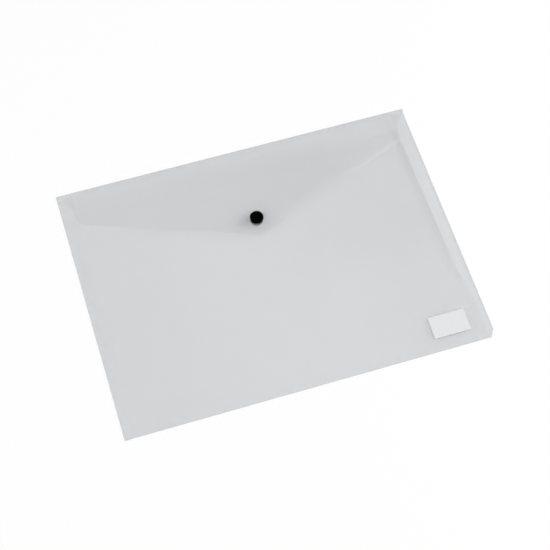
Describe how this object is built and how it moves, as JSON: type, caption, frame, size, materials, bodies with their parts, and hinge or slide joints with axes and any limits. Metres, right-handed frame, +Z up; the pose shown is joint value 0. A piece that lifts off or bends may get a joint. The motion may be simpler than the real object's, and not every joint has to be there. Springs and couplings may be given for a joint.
{
  "type": "document wallet",
  "caption": "Flat translucent plastic envelope wallet for A4 papers, with a pointed flap on a living hinge, a round snap button and a small label pocket.",
  "frame": {"origin": "on the table under the middle of the closed wallet", "axes": "+X along the flap's fold, to the right as the flap faces the reader; +Y towards that fold; +Z up, out of the front"},
  "size_m": [0.33, 0.242, 0.0132],
  "materials": {
    "frosted_sheet": "satin",
    "snap_plastic": "gloss",
    "label_film": "gloss",
    "label_paper": "matte"
  },
  "bodies": {
    "pocket": {"back_panel": "frosted_sheet", "bottom_fold": "frosted_sheet", "front_panel": "frosted_sheet", "left_gusset": "frosted_sheet", "right_gusset": "frosted_sheet", "left_weld_hem": "frosted_sheet", "right_weld_hem": "frosted_sheet", "flap_crease": "frosted_sheet", "snap_stud": "snap_plastic", "snap_rivet": "snap_plastic", "label_pocket": "label_film"},
    "flap": {"flap": "frosted_sheet", "snap_cap": "snap_plastic", "snap_socket": "snap_plastic"},
    "label": {"label_card": "label_paper"}
  },
  "joints": [
    {"name": "flap_hinge", "type": "hinge", "parent": "pocket", "child": "flap", "pos_m": [0, 0.1172, 0.0038], "axis": [-1, 0, 0], "range_deg": [0, 175], "deforming": ["flap_crease"]},
    {"name": "label_slide", "type": "slide", "parent": "pocket", "child": "label", "axis": [1, 0, 0], "range_m": [0, 0.036]}
  ]
}
